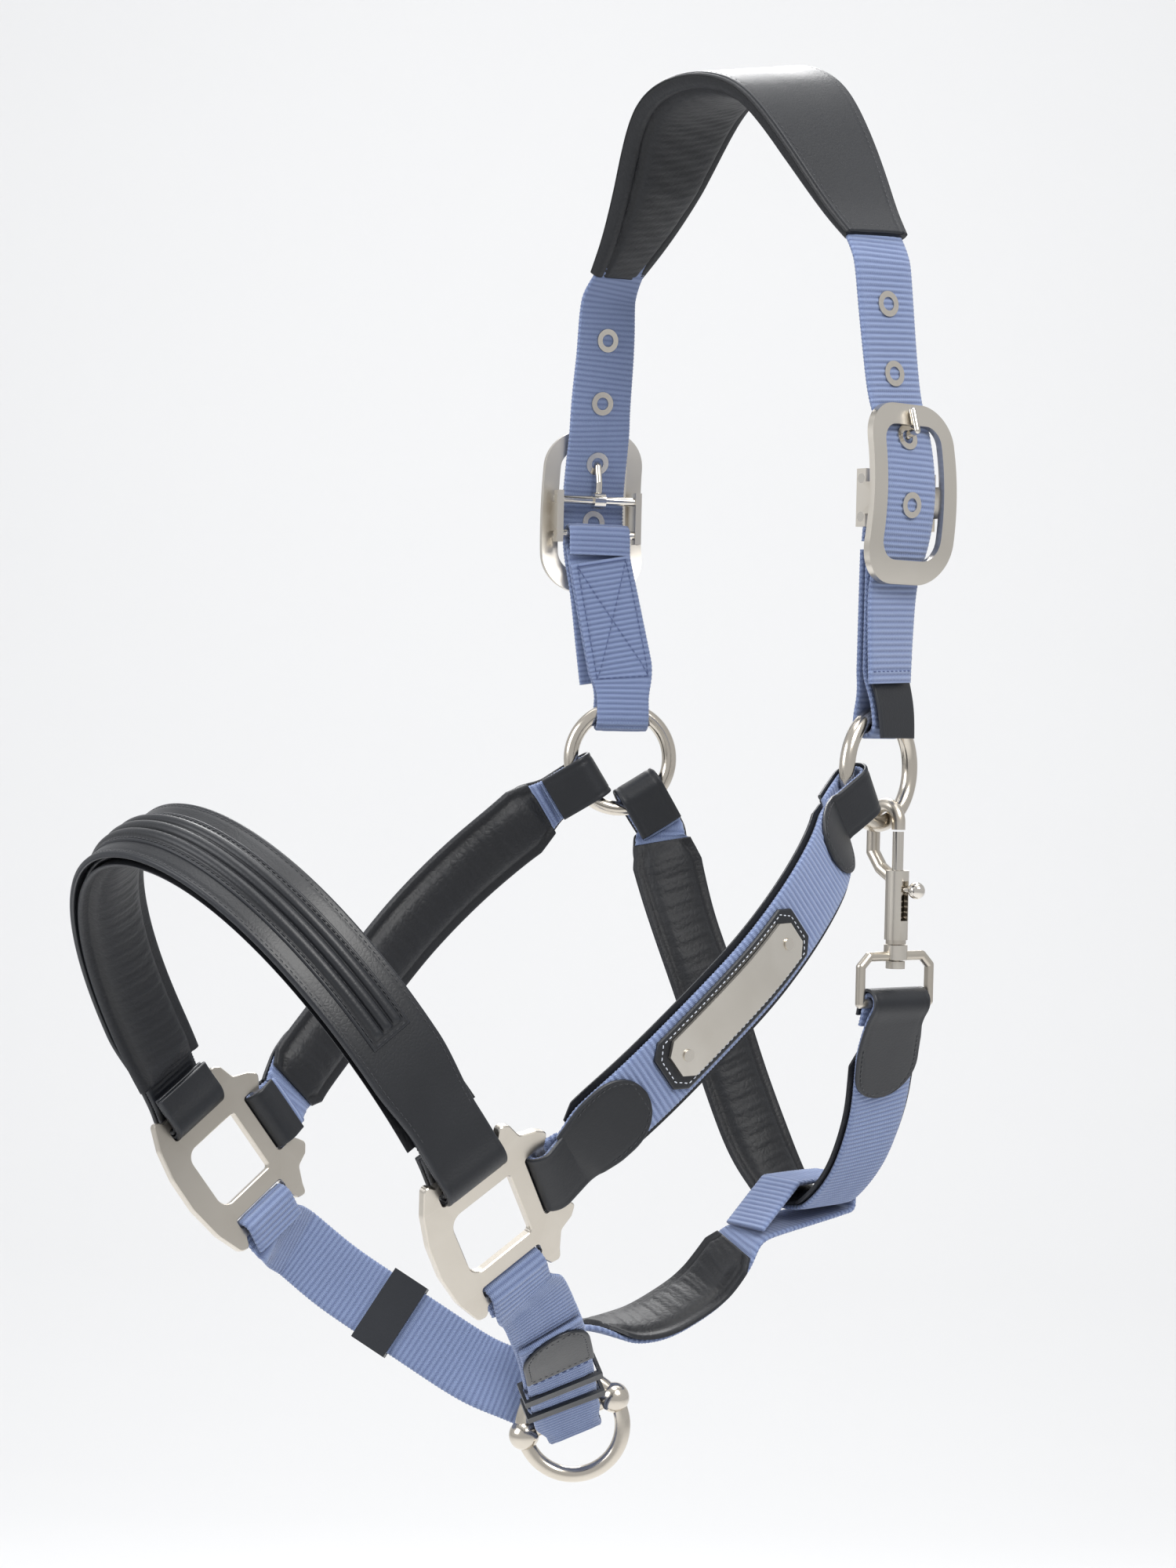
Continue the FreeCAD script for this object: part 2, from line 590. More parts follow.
# keep the strap straight for the width of each eyelet's flange
for s in (1, -1):
    for z in EYE_Z:
        for i in range(len(crown_st)-1):
            a, b = crown_st[i][0], crown_st[i+1][0]
            if a[0]*s > 60 and (a[2]-z)*(b[2]-z) <= 0 and a[2] != b[2]:
                t = (z-a[2])/(b[2]-a[2]); p = lerp(a, b, t)
                lo = crown_st[max(i-1, 0)][0]; hi = crown_st[min(i+2, len(crown_st)-1)][0]
                T = unit(add(unit(sub(b, a)), mul(unit(sub(hi, lo)), 0.5)))
                w = crown_st[i][1]
                keep0 = [q for q in crown_st[:i+1] if length(sub(q[0], p)) > 7.5]
                keep1 = [q for q in crown_st[i+1:] if length(sub(q[0], p)) > 7.5]
                crown_st = keep0 + [(comb((1, p), (-5.0, T)), w), (comb((1, p), (5.0, T)), w)] + keep1
                break
crown = Strap(crown_st)
fc = 1.0 if dot(crown.N[3], (-1, 0, 0)) > 0 else -1.0
web = crown.ribbon(0, crown.L, -WEB_T/2, WEB_T/2, WEB_W/2)
# narrow the webbing under the pad so it sits inside the lining's side walls


def crown_hw(s):
    return WEB_W/2

eyelets = {1: [], -1: []}
holes = []
for s in (1, -1):
    for z in EYE_Z:
        # find the strap station at this height
        best = None
        for i in range(len(crown.P)-1):
            a, b = crown.P[i], crown.P[i+1]
            if a[0]*s > 60 and (a[2]-z)*(b[2]-z) <= 0 and a[2] != b[2]:
                best = i + (z-a[2])/(b[2]-a[2])
        i = int(best); t = best-i
        p = lerp(crown.P[i], crown.P[i+1], t)
        n = unit(lerp(crown.N[i], crown.N[i+1], t))
        T = unit(lerp(crown.T[i], crown.T[i+1], t))
        hole = cyl(comb((1, p), (-4, n)), comb((1, p), (4, n)), 3.15)
        holes.append(hole)
        o = 0.6
        e = cyl(comb((1, p), (-H-o, n)), comb((1, p), (H+o, n)), 3.0)
        e = e.fuse(cyl(comb((1, p), (H+0.08, n)), comb((1, p), (H+o, n)), EYE_OD/2))
        e = e.fuse(cyl(comb((1, p), (-H-o, n)), comb((1, p), (-H-0.08, n)), EYE_OD/2))
        e = e.cut(cyl(comb((1, p), (-4, n)), comb((1, p), (4, n)), EYE_ID/2))
        eyelets[s].append((e, p, n))
for hh in holes:
    web = web.cut(hh)
export("crown_webbing", web)
for s, nm in ((1, "left"), (-1, "right")):
    export(nm+"_eyelets", *[e[0] for e in eyelets[s]])

# ---------------------------------------------------------------- buckles
BK_TILT = 0.0


def bk_frame(s):
    """Origin at the buckle's centre; w along the width, u up, n outwards."""
    w = cw(s, -148.0)
    w = unit((w[0], w[1], 0.0))
    if w[1] < 0: w = mul(w, -1)
    n = unit(cross(w, (0, 0, 1)))
    if n[0]*s < 0: n = mul(n, -1)
    t = math.radians(BK_TILT)
    u = comb((math.cos(t), (0, 0, 1.0)), (-math.sin(t), n))
    n2 = comb((math.cos(t), n), (math.sin(t), (0, 0, 1.0)))
    return (BUCKLE_C if s == 1 else (-BUCKLE_C[0], BUCKLE_C[1]+2.1, BUCKLE_C[2])), w, u, n2


def buckle_local():
    """Frame in local axes: x width, y up, z outwards; outer face at z=0 in
    the middle and curving back to the ends."""
    R = 98.0; t = 2.6
    hw, hh = BUCKLE_W/2, BUCKLE_H/2
    out = rounded([(-hw+1.0, hh, 0), (hw-1.0, hh, 0), (hw-2.4, 2, 0), (hw, -hh+8, 0), (hw-1.0, -hh, 0), (-hw+1.0, -hh, 0), (-hw, -hh+8, 0), (-hw+2.4, 2, 0)],
                  [13, 13, 25, 3, 14, 14, 3, 25])
    return out, R, t

hw, hh = BUCKLE_W/2, BUCKLE_H/2
out = rounded([(-hw+1.2, hh, 0), (hw-1.2, hh, 0), (hw, -hh, 0), (-hw, -hh, 0)], [13.5, 13.5, 14.5, 14.5])
inn = rounded([(-13.7, hh-7.4, 0), (13.7, hh-7.4, 0), (14.3, -hh+8.2, 0), (-14.3, -hh+8.2, 0)], [6.5, 6.5, 7.5, 7.5])
blk = Part.Face(out).extrude(V(0, 0, 30)).cut(Part.Face(inn).extrude(V(0, 0, 30)))
blk.translate(V(0, 0, -20))
RB = 98.0; TB = 2.6
shellc = Part.makeCylinder(RB, 80, V(-40, 0, -RB), V(1, 0, 0)).cut(Part.makeCylinder(RB-TB, 90, V(-45, 0, -RB), V(1, 0, 0)))
BK = blk.common(shellc)
# rails: two posts and a rail on each side, inside the frame
BAR1_Y, BAR2_Y = 4.6, -8.6      # tongue bar and strap bar, from the centre
BAR_Z = -9.6                    # bars' depth behind the outer face
rails = []
for sx in (-1, 1):
    x0 = 14.9 if sx > 0 else -17.4
    r = Part.makeBox(2.5, 20.0, 4.4, V(x0, -12.0, BAR_Z-2.2))
    post = Part.makeBox(2.5, 11.0, 9.0, V(x0, -7.6, BAR_Z))
    rails.append(r.fuse(post))
sidecut = Part.makeCylinder(RB-TB+0.4, 90, V(-45, 0, -RB), V(1, 0, 0))
rails = [r.common(sidecut) for r in rails]
BK = BK.fuse(rails[0]).fuse(rails[1]).removeSplitter()
barcut = [Part.makeCylinder(BAR_R, 60, V(-30, y, BAR_Z), V(1, 0, 0)) for y in (BAR1_Y, BAR2_Y)]
BKF = BK.cut(barcut[0]).cut(barcut[1])
bars = [Part.makeCylinder(BAR_R, 34.8, V(-17.4, y, BAR_Z), V(1, 0, 0)) for y in (BAR1_Y, BAR2_Y)]


def put(shape, s):
    o, w, u, n = bk_frame(s)
    ex = w if dot(cross(w, u), n) > 0 else mul(w, -1)
    return placed(shape, o, ex, u, n)


def bkp(s, x, y, z):
    o, w, u, n = bk_frame(s)
    return comb((1, o), (x, w), (y, u), (z, n))

for s, nm in ((1, "left"), (-1, "right")):
    export(nm+"_buckle_frame", put(BKF, s))
    export(nm+"_tongue_bar", put(bars[0], s))
    export(nm+"_strap_bar", put(bars[1], s))
    # tongue: hub on the bar, shank behind the strap, through the eyelet, tip on the rim
    e, p, n = eyelets[s][2]
    o, w, u, nn = bk_frame(s)
    q0 = bkp(s, 0, BAR1_Y, BAR_Z)
    if dot(n, nn) < 0: n = mul(n, -1)
    up = unit(sub((0, 0, 1.0), mul(n, n[2])))
    pw = dot(sub(p, o), w)
    q0 = bkp(s, pw, BAR1_Y, BAR_Z)
    hubr = BAR_R+0.05
    q2 = comb((1, p), (-2.4, n), (-0.9, up))
    q3 = comb((1, p), (2.6, n), (0.7, up))
    rim = bkp(s, pw, BUCKLE_H/2-3.0, 0)
    # outer face depth at the rim
    yy = BUCKLE_H/2-3.0
    zrim = -(RB-math.sqrt(RB*RB-yy*yy))
    q5 = bkp(s, pw, yy+0.4, zrim+1.3+0.35)
    yy4 = yy-6.5
    q4 = bkp(s, pw, yy4, -(RB-math.sqrt(RB*RB-yy4*yy4))+1.3+0.6)
    q1 = lerp(q0, q2, 0.55); q1 = comb((1, q1), (-1.0, n))
    start = comb((1, q0), (2.3, unit(sub(q1, q0))))
    tng = rod([start, q1, q2, q3, q4, q5], 1.3)
    tng = tng.fuse(Part.makeSphere(1.3, V(*q5)))
    hub = cyl(comb((1, q0), (-2.3, w)), comb((1, q0), (2.3, w)), BAR_R+1.5)
    tng = tng.fuse(hub).cut(cyl(comb((1, q0), (-6, w)), comb((1, q0), (6, w)), hubr))
    export(nm+"_tongue", tng)

# ------------------------------------------------------ strap construction
TUN = (2.8+0.45+H)      # path radius round a ring wire


def ring_loop(s, ch, cv, T2=(1.0, 0.0), flat=13.0, off=H+0.3, far=13.0):
    """Loop round the cheek ring's wire in the direction (ch, cv)."""
    p, rad, tan, n = ring_point(s, ch, cv)
    out = n if n[0]*s > 0 else mul(n, -1)
    return p, rad, tan, out, hull_loop(p, rad, out, tan, [(-3.75, 0, TUN), (0.0, 0, TUN-0.35)], T2, flat, off, far)


def build(endA, mids, endB, step=5.5, outward=None):
    """Strap stations: loop A (inner to outer), middle, loop B (outer to inner)."""
    sta = list(endA) + smooth([endA[-1]] + mids + [endB[-1]], step)[1:-1] + list(reversed(endB))
    S = Strap(sta)
    i0 = len(endA)-1; i1 = len(sta)-len(endB)
    S.a, S.b = S.S[i0], S.S[i1]
    return S


def outer_sign(S, ref):
    i = len(S.P)//2
    return 1.0 if dot(S.N[i], ref) > 0 else -1.0


def sew(S, f, s0, s1, n0, n1, hw, extra=(), wc=0.0):
    return rib(S, s0, s1, n0, n1, hw, f, extra, wc)


def ramp(x, a, b, y0, y1):
    t = min(1.0, max(0.0, (x-a)/float(b-a)))
    return y0+(y1-y0)*t


TABS = {}
# --------------------------------------------- buckle tabs (bar to cheek ring)
for s, nm in ((1, "left"), (-1, "right")):
    bar = bkp(s, 0, BAR2_Y, BAR_Z)
    o, w, u, n = bk_frame(s)
    p, rad, tan, out, RL = ring_loop(s, 0.0, 1.0, flat=12.5, far=12.5)
    tan = tan if tan[1] > 0 else mul(tan, -1)
    d0 = unit(sub(comb((1, p), (36.0, rad)), bar)); d0 = unit(sub(d0, mul(w, dot(d0, w))))
    n0 = unit(cross(w, d0)); n0 = n0 if n0[0]*s > 0 else mul(n0, -1)
    BL = hull_loop(bar, d0, n0, w, [(0, 0, BAR_R+0.4+H)], (1.0, 0.0), 9.0, H+0.3, 9.0)
    RL = [(q, tan) for q, _ in RL]
    # one strip: round the strap bar, down the outer ply, round the ring, up the inner ply
    sta = BL + list(reversed(RL)) + [(comb((1, BL[0][0]), (1.5, d0)), w)]
    T_ = Strap(sta)
    zr = p[2]+8
    def thw(ss, S=T_, zr=zr):
        q = S.at(ss)[0]
        return ramp(q[2], zr-5, zr+9, 10.2, WEB_W/2)
    TABS[s] = (T_, n0, p[2]+8)
    a = T_.ribbon(0, T_.L, -H, H, thw)
    export(nm+"_buckle_tab", a)

    if s == 1:
        g = [(comb((1, p), (x_, rad), (y_, out)), tan) for x_, y_ in ((20.0, 4.4), (12.5, 3.6), (7.0, 5.4), (2.0, 6.6), (-4.0, 7.3), (-8.5, 7.6))]
        G = Strap(smooth(g, 4.0))
        export("left_ring_guard", G.ribbon(0, G.L, -0.6, 0.6, lambda ss: 12.4-2.2*ss/G.L))

# ---------------------------------------------------------------- cheekpieces
CK_MID = [(87.0, -29.5, -272.0), (94.0, -47.6, -288.0), (96.8, -66.8, -305.0), (95.6, -83.7, -320.0),
          (90.0, -112.0, -345.0), (84.5, -131.0, -361.0)]
CK_W = (0.0, 0.662, -0.749)
CHEEK = {}
for s, nm in ((1, "left"), (-1, "right")):
    aa = math.radians(212.0)
    p, rad, tan, out, RL = ring_loop(s, math.cos(aa), math.sin(aa), flat=13.0, far=13.0)
    tan = tan if dot(tan, CK_W) > 0 else mul(tan, -1)
    RL = [(q, tan) for q, _ in RL]
    bar = sq_point(s, CK_A, 2.0)
    c, eA, eB, nP = sq_frame(s)
    wq = eB if dot(eB, CK_W) > 0 else mul(eB, -1)
    SL = hull_loop(bar, eA, nP, wq, [(0, 0, 2.62+H)], (1.0, 0.0), 9.5, H+0.3, 9.5)
    mids = [(side(q, s), CK_W) for q in CK_MID]
    S = build(RL, mids, SL)
    f = outer_sign(S, (s, 0, 0))
    CHEEK[s] = (S, f)
    a0, b0 = S.a, S.b
    S.extra = [a0+14, a0+17, a0+20, a0+22, b0-30, b0-28, b0-24, b0-20]
    def hwW(x, a0=a0, b0=b0):
        return min(ramp(x, a0-4, a0+14, 8.2, WEB_W/2), ramp(x, b0-12, b0+2, WEB_W/2, 9.9))
    export(nm+"_cheek_webbing", sew(S, f, 0, S.L, -H, H, hwW))
    # leather tabs outside the webbing loops, pointed on the outer face
    def tipA(x, a0=a0):
        e = a0+23.0
        if x < e-9: return ramp(x, a0-4, a0+10, 8.8, 11.8)
        t = (x-(e-9))/9.0
        return max(3.0, 11.8*math.sqrt(max(0.0, 1-t*t*0.93)))
    A_in = 2.0
    export(nm+"_cheek_upper_tab", sew(S, f, A_in, a0+23.0, H+0.25, H+0.25+LEA_T, tipA, extra=(a0+14, a0+17, a0+20, a0+22)))
    def tipB(x, b0=b0):
        e = b0-31.0
        if x > e+11: return ramp(x, b0-14, b0+2, 13.0, 10.9)
        t = ((e+11)-x)/11.0
        return max(3.5, 13.0*math.sqrt(max(0.0, 1-t*t*0.92)))
    export(nm+"_cheek_lower_tab", sew(S, f, b0-31.0, S.L-5.0, H+0.25, H+0.25+LEA_T, tipB, extra=(b0-30, b0-28, b0-24, b0-20)))
    # padded lining on the inner face, between the two loops
    n_i = -H-0.15
    l0, l1 = a0+5.5, b0-6.0
    def lin(x, l0=l0, l1=l1, f=f):
        k = max(0.3, min(1.0, (x-l0)/10.0, (l1-x)/10.0)); h = PAD_W/2
        return [(w_, f*n_) for w_, n_ in ((-h, n_i), (-h, n_i-1.3), (-h+4.0, n_i-1.6), (-h+6.0, n_i-1.6-3.2*k),
                                          (h-6.0, n_i-1.6-3.2*k), (h-4.0, n_i-1.6), (h, n_i-1.3), (h, n_i), (0, n_i))]
    export(nm+"_cheek_lining", S.prof(l0, l1, lin))
    if s == 1:
        # nameplate and its leather backing, bent with the strap
        m0 = S.nearest((96.5, -58.0, -297.0)); m1 = S.nearest((95.0, -100.0, -335.0))
        mc = (m0+m1)/2+3.5
        L1, L2 = 36.0, 31.5
        def hexa(x, half, w0, cut, mc=mc):
            d = half-abs(x-mc)
            return w0 if d > cut else w0-cut*0.85+d*0.85
        nb = (mc-L1, mc+L1)
        cc = 1.2
        export("nameplate_backing", sew(S, f, nb[0], nb[1], H+0.25, H+0.25+LEA_T, lambda x: hexa(x, L1, 10.4, 4.5),
                                        extra=(nb[0]+4.5, nb[1]-4.5)))
        o1 = H+0.25+LEA_T+0.1
        pl = sew(S, f, mc-L2, mc+L2, o1, o1+1.3, lambda x: hexa(x, L2, 7.6, 4.0), extra=(mc-L2+4, mc+L2-4))
        riv = []
        for x in (mc-26.0, mc+26.0):
            q, w_, n_ = S.at(x); n_ = mul(n_, f)
            pl = pl.cut(cyl(comb((1, q), (0, n_)), comb((1, q), (8, n_)), 1.25))
            r_ = cyl(comb((1, q), (o1, n_)), comb((1, q), (o1+1.35, n_)), 1.2).fuse(
                 cyl(comb((1, q), (o1+1.34, n_)), comb((1, q), (o1+1.9, n_)), 2.0))
            riv.append(r_)
        export("nameplate", pl)
        export("nameplate_rivets", *riv)

# ---------------------------------------------------------------- snap hook
sx, sy = SNAP_AX
eaz = math.radians(83.0)
eE = (math.cos(eaz), math.sin(eaz), 0.0)
Z_EYE_T, Z_EYE_B, EYE_HW, EYE_R = -310.2, -326.6, 15.4, 1.7
ep = [comb((1, (sx, sy, z)), (k, eE)) for k, z in ((-EYE_HW, Z_EYE_B), (-EYE_HW, Z_EYE_T+3.5), (-EYE_HW+3.5, Z_EYE_T),
                                                   (EYE_HW-3.5, Z_EYE_T), (EYE_HW, Z_EYE_T+3.5), (EYE_HW, Z_EYE_B))]
ep = [comb((1, (sx, sy, z)), (k, eE)) for k, z in ((-EYE_HW, Z_EYE_B), (-EYE_HW, Z_EYE_T-3.5), (-EYE_HW+3.5, Z_EYE_T),
                                                   (EYE_HW-3.5, Z_EYE_T), (EYE_HW, Z_EYE_T-3.5), (EYE_HW, Z_EYE_B))]
eye = rod(ep + [ep[0]], EYE_R).fuse(Part.makeSphere(EYE_R, V(*ep[0])))
eye = eye.fuse(cyl((sx, sy, Z_EYE_T-1.2), (sx, sy, -306.2), 4.2))
STEM_R = 1.6
eye = eye.cut(cyl((sx, sy, -320), (sx, sy, -300), STEM_R+0.05))
export("snap_eye", eye.removeSplitter())
# barrel with its swivel stem, head below the eye's top bar, spine and hook
B_T, B_B, B_R = -280.0, -304.4, 4.15
bar_ = cyl((sx, sy, B_B), (sx, sy, B_T), B_R).fuse(cyl((sx, sy, -305.9), (sx, sy, -303.0), 3.6))
bar_ = bar_.fuse(cyl((sx, sy, -312.6), (sx, sy, -303.0), STEM_R)).fuse(cyl((sx, sy, -314.6), (sx, sy, -312.0), 3.4))
hook = rod([(sx-2.0, sy, B_T-3.0), (sx-8.0, sy, B_T+0.5), (sx-12.2, sy, B_T+6.0), (sx-12.2, sy, -263.2)], 2.4)
hook = hook.fuse(Part.makeSphere(2.4, V(sx-12.2, sy, -263.2)))
arc = Part.makeTorus(6.1, 2.4, V(sx-6.1, sy, -263.2), V(0, 1, 0), -180, 180, 360)
halfbox = Part.makeBox(40, 20, 20, V(sx-26, sy-10, -263.2))
arc = arc.common(halfbox)
hook = hook.fuse(arc).fuse(cyl((sx, sy, -263.2), (sx, sy, -265.6), 2.4))
bore = cyl((sx, sy, -299.0), (sx, sy, B_T+1), 2.55)
slot = Part.makeBox(10, 3.4, 14.0, V(sx, sy-1.7, -297.6))
barrel = bar_.fuse(hook).cut(bore).cut(slot)
export("snap_barrel", barrel.removeSplitter())
bolt = cyl((sx, sy, -288.6), (sx, sy, -266.3), 2.0).fuse(cyl((sx, sy, -288.6), (sx, sy, -283.2), 2.45))
bolt = bolt.fuse(cyl((sx, sy, -286.6), (sx+8.0, sy, -286.6), 1.3)).fuse(Part.makeSphere(3.0, V(sx+9.4, sy, -286.6)))
bolt = bolt.cut(cyl((sx, sy, -289), (sx, sy, -284.5), 1.15))
export("snap_bolt", bolt.removeSplitter())
# coil spring between the barrel's floor and the bolt
z0, z1, R_, rw = -298.95, -288.65, 2.0, 0.3
hx = Part.makeHelix((z1-z0-2*rw)/5.0, z1-z0-2*rw, R_)
hx.Placement = FreeCAD.Placement(V(sx, sy, z0+rw), FreeCAD.Rotation())
prof = Part.Wire([Part.Circle(V(sx+R_, sy, z0+rw), V(0, 1, 0), rw).toShape()])
spring = Part.Wire(hx.Edges).makePipeShell([prof], True, True)
export("snap_spring", spring)

# ---------------------------------------------------------------- throat strap
aa = math.radians(302.0)
p, rad, tan, out, RL = ring_loop(-1, math.cos(aa), math.sin(aa), flat=13.0, far=13.0)
tan = tan if tan[1] > 0 else mul(tan, -1)
RL = [(q, tan) for q, _ in RL]
bar = (sx, sy, Z_EYE_B)
dT = unit((-0.42, 0.0, -0.907)); dT = unit(sub(dT, mul(eE, dot(dT, eE))))
nT = unit(cross(eE, dT)); nT = nT if nT[0] > 0 else mul(nT, -1)
EL = hull_loop(bar, dT, nT, eE, [(0, 0, EYE_R+0.45+H)], (1.0, 0.0), 10.0, H+0.3, 10.0)
WT = (0.2, 0.95, 0.15)
TM = [((-61.0, 22.8, -274.5), (0.36, 0.80, 0.40)), ((-58.3, 23.6, -285.0), (0.30, 0.88, 0.3)), ((-53.8, 24.0, -297.0), (0.25, 0.93, 0.2)),
      ((-48.5, 24.2, -308.6), WT), ((-36.0, 27.4, -336.9), WT), ((-25.5, 31.0, -365.2), WT), ((-14.5, 33.3, -388.0), WT),
      ((-8.0, 34.8, -399.0), (0.1, 0.98, 0.08)), ((-1.5, 35.8, -407.2), (0.02, 1, 0.02)), ((5.0, 36.4, -409.0), (0.0, 1.0, 0.0)), ((10.5, 36.6, -409.4), (0.0, 1.0, 0.0)),
      ((16.0, 36.4, -409.2), (0.0, 1.0, 0.0)), ((22.5, 35.8, -407.8), (0.01, 1.0, 0.01)), ((30.0, 34.6, -402.0), (0.05, 1, 0.05)),
      ((38.5, 33.0, -394.0), (0.08, 1, 0.08)), ((45.5, 31.0, -385.5), (0.1, 1, 0.1)), ((56.0, 27.0, -368.0), (0.12, 1, 0.08)), ((63.5, 21.5, -352.0), (0.12, 1, 0.03))]
TH = build(RL, TM, EL, 6.5)
ft = outer_sign(TH, (0, 0, -1))
a0, b0 = TH.a, TH.b
TH.extra = [a0+12, a0+15, a0+18, b0-28, b0-26, b0-22, b0-18]
export("throat_webbing", sew(TH, ft, 0, TH.L, -H, H,
       lambda x: min(ramp(x, a0-4, a0+14, 8.2, WEB_W/2), ramp(x, b0-10, b0+3, WEB_W/2, 11.6))))


def tipC(x):
    e = a0+20.0
    if x < e-9: return ramp(x, a0-4, a0+10, 8.8, 12.0)
    t = (x-(e-9))/9.0
    return max(3.0, 12.0*math.sqrt(max(0.0, 1-t*t*0.93)))


def tipD(x):
    e = b0-29.0
    if x > e+10: return ramp(x, b0-8, b0+3, 13.2, 12.5)
    t = ((e+10)-x)/10.0
    return max(3.5, 13.2*math.sqrt(max(0.0, 1-t*t*0.92)))

export("throat_far_tab", sew(TH, ft, 2.0, a0+20.0, H+0.25, H+0.25+LEA_T, tipC, extra=(a0+12, a0+15, a0+18)))
export("throat_near_tab", sew(TH, ft, b0-29.0, TH.L-5.0, H+0.25, H+0.25+LEA_T, tipD, extra=(b0-28, b0-26, b0-22, b0-18)))
n_i = -H-0.15
l0, l1 = a0+5.5, b0-9.0


def linT(x):
    k = max(0.3, min(1.0, (x-l0)/10.0, (l1-x)/10.0)); h = PAD_W/2-0.3
    return [(w_, ft*n_) for w_, n_ in ((-h, n_i), (-h, n_i-1.3), (-h+4.0, n_i-1.6), (-h+6.0, n_i-1.6-3.0*k),
                                      (h-6.0, n_i-1.6-3.0*k), (h-4.0, n_i-1.6), (h, n_i-1.3), (h, n_i), (0, n_i))]
export("throat_lining", TH.prof(l0, l1, linT))

# ---------------------------------------------------------------- chin ring
cN = unit(CHIN_N); cB = unit(CHIN_B); cU = unit(cross(cN, cB)); cN = unit(cross(cB, cU))
cC = comb((1, CHIN_BAR), (-CHIN_DROP, cU))
ringc = Part.makeTorus(CHIN_R, CHIN_WIRE, V(*cC), V(*cN))
chord = math.sqrt(CHIN_R**2-CHIN_DROP**2)
ends_ = [comb((1, CHIN_BAR), (k*chord, cB)) for k in (-1, 1)]
for e_ in ends_:
    ringc = ringc.fuse(Part.makeSphere(5.4, V(*e_)))
ringc = ringc.fuse(cyl(ends_[0], ends_[1], CHIN_BAR_R))
export("chin_ring", ringc.removeSplitter())

# near chin strap: square bar to ring bar
c, eA, eB, nP = sq_frame(1)
sqb = sq_point(1, 0.95, CH_B)
NS = hull_loop(sqb, mul(eB, -1), nP, eA, [(0, 0, 2.62+H)], (1.0, 0.0), 9.5, H+0.3, 9.5)
tn = (0.865, 0.488)     # approach in the (cN, cU) plane
NRr = CHIN_BAR_R+0.4+H
NR = hull_loop(CHIN_BAR, cN, cU, cB, [(0, 0, NRr)], tn, 11.0, H+0.3, 11.0)
# outer side of the strap: to the front and below
k = math.hypot(*tn); ot = comb((tn[1]/k, cN), (-tn[0]/k, cU))
if dot(ot, sub(NR[-1][0], NR[0][0])) < 0:
    NR = hull_loop(CHIN_BAR, cU, cN, cB, [(0, 0, NRr)], (tn[1], tn[0]), 11.0, H+0.3, 11.0)
NMID = [((62.3, -137.0, -417.0), (0.2, 0.87, 0.45)), ((55.2, -127.0, -426.2), (0.3, 0.85, 0.42)), ((47.0, -116.6, -435.5), (0.4, 0.80, 0.41)), ((33.0, -102.0, -448.8), (0.5, 0.76, 0.41))]
NC = build(NS, NMID, NR, 9.0)
fn = outer_sign(NC, (0.6, -0.3, -0.7))
a1, b1 = NC.a, NC.b
export("left_chin_strap", sew(NC, fn, 0, NC.L, -H, H,
       lambda x: min(ramp(x, a1-2, a1+12, 11.3, WEB_W/2), ramp(x, b1-14, b1-2, WEB_W/2, 9.8))))

# far chin strap: square bar, behind the ring, round its bar and back up over
# the near strap
c, eA, eB, nP = sq_frame(-1)
sqf = sq_point(-1, 0.95, CH_B)
FS = hull_loop(sqf, mul(eB, -1), nP, eA, [(0, 0, 2.62+H)], (1.0, 0.0), 9.5, H+0.3, 9.5)
WR = NRr+WEB_T+0.3
off2 = 2*H+0.05+0.15+H
back = []
# strap leaves the bar going back and up
dB_ = (-0.588, 0.809)
th0 = math.atan2(-0.588, -0.809)          # tangent point angle in (cN, cU)
kk = math.hypot(*tn); tnn = (tn[0]/kk, tn[1]/kk)
# outer side at the front is (tn[1], -tn[0])
th1 = math.atan2(-tnn[0], tnn[1])
while th1 < th0: th1 += 2*math.pi
m_ = 7
wrap = []
for i in range(m_+1):
    a_ = th0+(th1-th0)*i/m_
    wrap.append((comb((1, CHIN_BAR), (WR*math.cos(a_), cN), (WR*math.sin(a_), cU)), cB))
dep = (comb((1, wrap[0][0]), (5.0*dB_[0], cN), (5.0*dB_[1], cU)), cB)
WF = (0.18, 0.54, 0.82)
FM = [((-79.0, -133.0, -420.5), (0.0, 0.66, 0.75)), ((-73.5, -121.0, -432.0), (0.08, 0.6, 0.79)), ((-64.5, -111.2, -440.7), WF), ((-50.8, -100.8, -450.4), WF),
      ((-41.6, -93.7, -457.1), WF), ((-29.1, -84.6, -465.2), (0.28, 0.58, 0.76)), ((-19.0, -78.5, -468.0), (0.42, 0.64, 0.64))]
first = smooth([FS[-1]] + FM + [dep], 9.0)
ret = []
s_r0, s_r1 = b1-1.5, b1-76.0
xs = [b1-6.0, b1-12.0] + [v for v in reversed(NC.S) if s_r1+1 < v < b1-13.0] + [s_r1]
for x in xs:
    q, w_, n_ = NC.at(x)
    o_ = off2+(1.2 if x == xs[0] else 0.0)
    ret.append((comb((1, q), (fn*(off2+ (0.6 if x == xs[0] else 0)), n_)), w_))
sta = list(FS) + first[1:] + wrap + ret
FC = Strap(sta)
i_w = len(FS)+len(first)-1
FC.a = FC.S[len(FS)-1]; FC.w0 = FC.S[i_w]; FC.w1 = FC.S[i_w+m_]; FC.r0 = FC.S[i_w+m_+1]
ff = 1.0 if dot(FC.N[len(FS)+5], (-1, 0, -0.6)) > 0 else -1.0
FC.extra = [FC.L-12, FC.L-8, FC.L-4, FC.L-1.5]
